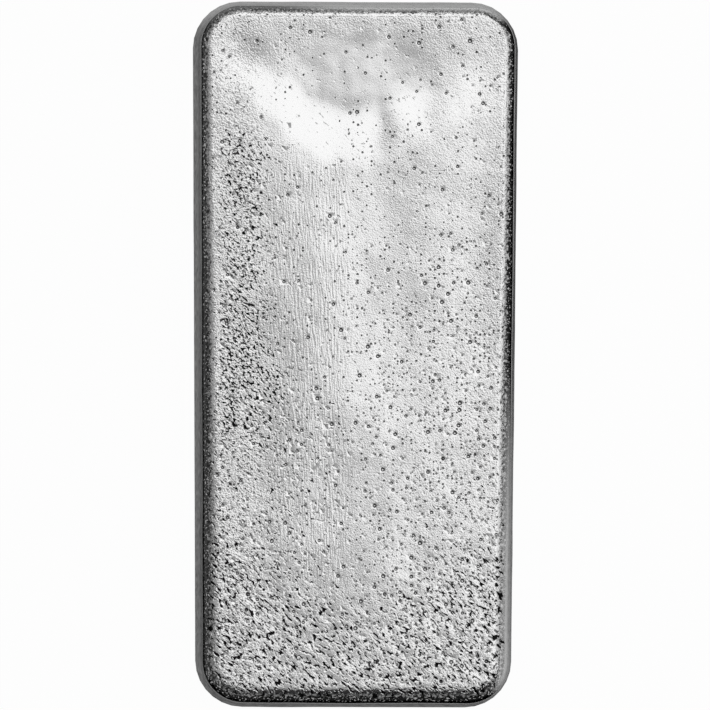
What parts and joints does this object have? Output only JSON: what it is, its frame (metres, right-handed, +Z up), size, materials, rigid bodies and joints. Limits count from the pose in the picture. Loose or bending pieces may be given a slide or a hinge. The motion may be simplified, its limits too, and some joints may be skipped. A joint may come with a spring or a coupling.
{
  "type": "metal ingot",
  "caption": "Cast metal ingot: a tapered bar with drafted walls, rounded corners and edges, a pitted mould face up and a sunken pour face below.",
  "frame": {"origin": "centre of the bar's footprint, on the floor that its pour face lies on", "axes": "+Y along the bar to its wider head end, +Z up out of the mould face, X across the bar"},
  "size_m": [0.054, 0.117, 0.0161],
  "materials": {
    "cast_silver": "as cast, bright and pitted on the mould face, duller on the walls"
  },
  "bodies": {
    "root": {"ingot": "cast_silver"}
  },
  "joints": []
}
